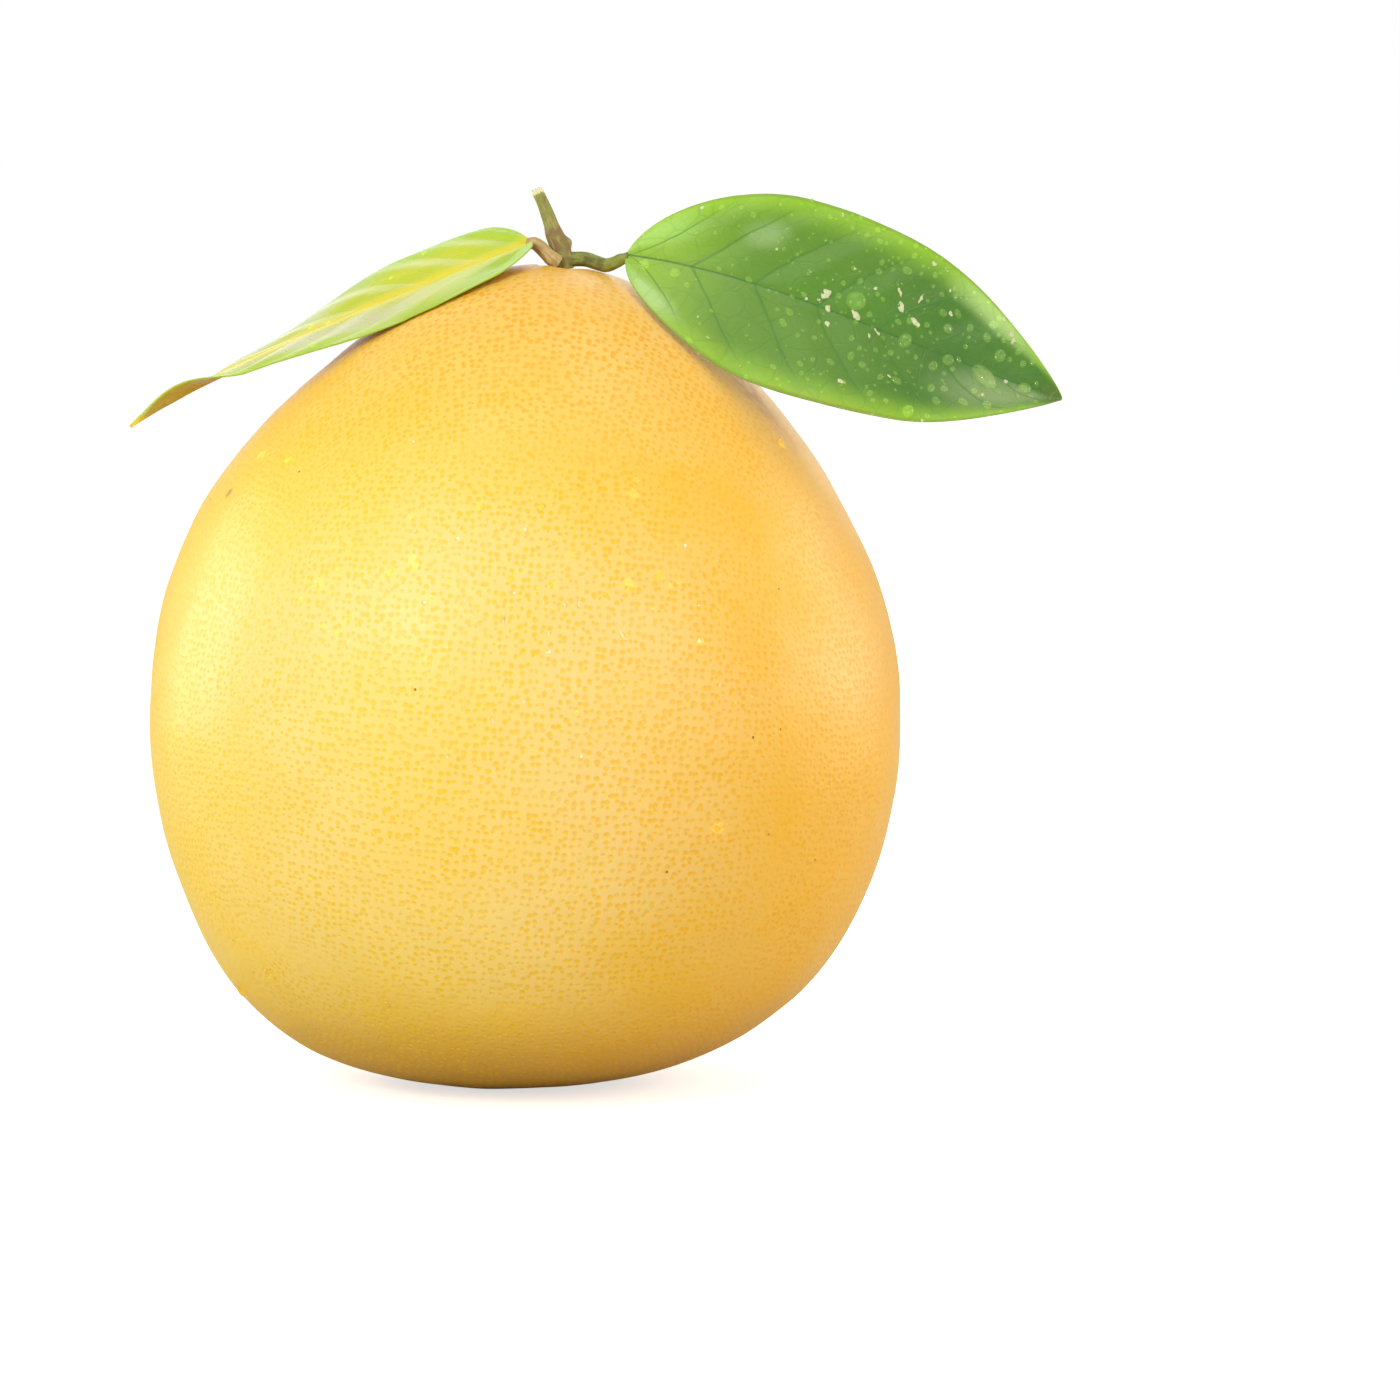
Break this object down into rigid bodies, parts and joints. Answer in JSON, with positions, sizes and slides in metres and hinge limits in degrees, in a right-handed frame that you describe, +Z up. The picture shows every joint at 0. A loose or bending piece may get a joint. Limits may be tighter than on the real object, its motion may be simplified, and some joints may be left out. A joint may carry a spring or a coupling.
{
  "type": "pomelo",
  "caption": "Whole ripe pomelo, pear-shaped at the stem end, with its cut stem and leaves on their stalks, lying on a small flat spot.",
  "frame": {"origin": "centre of the small flat spot that the fruit rests on", "axes": "+Z up, the stem end at the top; +X towards the end of the larger green leaf, -X towards the end of the yellow-green leaf; -Y towards the viewer"},
  "size_m": [0.1856, 0.1495, 0.1788],
  "materials": {
    "rind": "satin",
    "button": "matte",
    "twig": "matte",
    "brown_stalk": "matte",
    "olive_stalk": "matte",
    "young_leaf": "satin",
    "green_leaf": "satin"
  },
  "bodies": {
    "root": {"fruit": "rind", "button": "button", "stem": "twig", "petiole_left": "brown_stalk", "petiole_right": "olive_stalk", "leaf_left": "young_leaf", "leaf_right": "green_leaf"}
  },
  "joints": []
}
